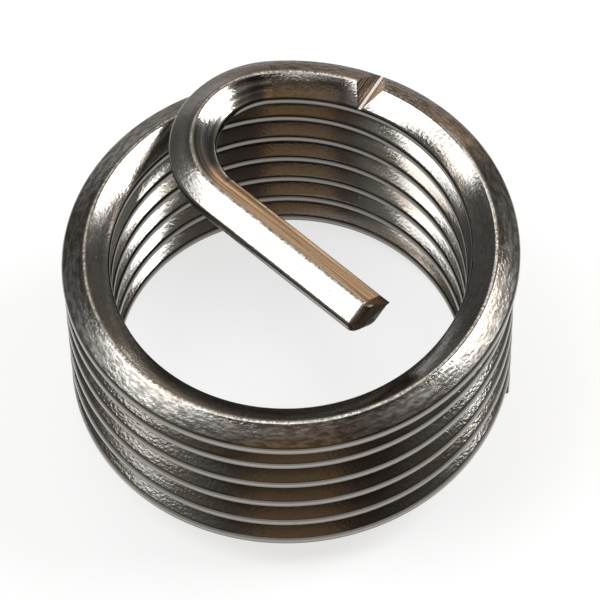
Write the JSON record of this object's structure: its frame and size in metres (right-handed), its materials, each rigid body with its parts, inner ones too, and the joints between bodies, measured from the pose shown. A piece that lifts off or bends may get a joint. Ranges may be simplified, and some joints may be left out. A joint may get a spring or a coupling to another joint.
{
  "type": "threaded insert",
  "caption": "Wire thread insert: a coil of diamond-section stainless wire with a driving tang across its bore and a break-off notch.",
  "frame": {"origin": "coil axis at the height of the free end's lowest crest", "axes": "+Z along the coil axis from the free end to the tang, +X along the straight tang from its bend to its cut end"},
  "size_m": [0.0169, 0.0169, 0.0099],
  "materials": {
    "stainless_wire": "drawn and rolled bright, with fine draw marks"
  },
  "bodies": {
    "root": {"wire_coil": "stainless_wire"}
  },
  "joints": []
}
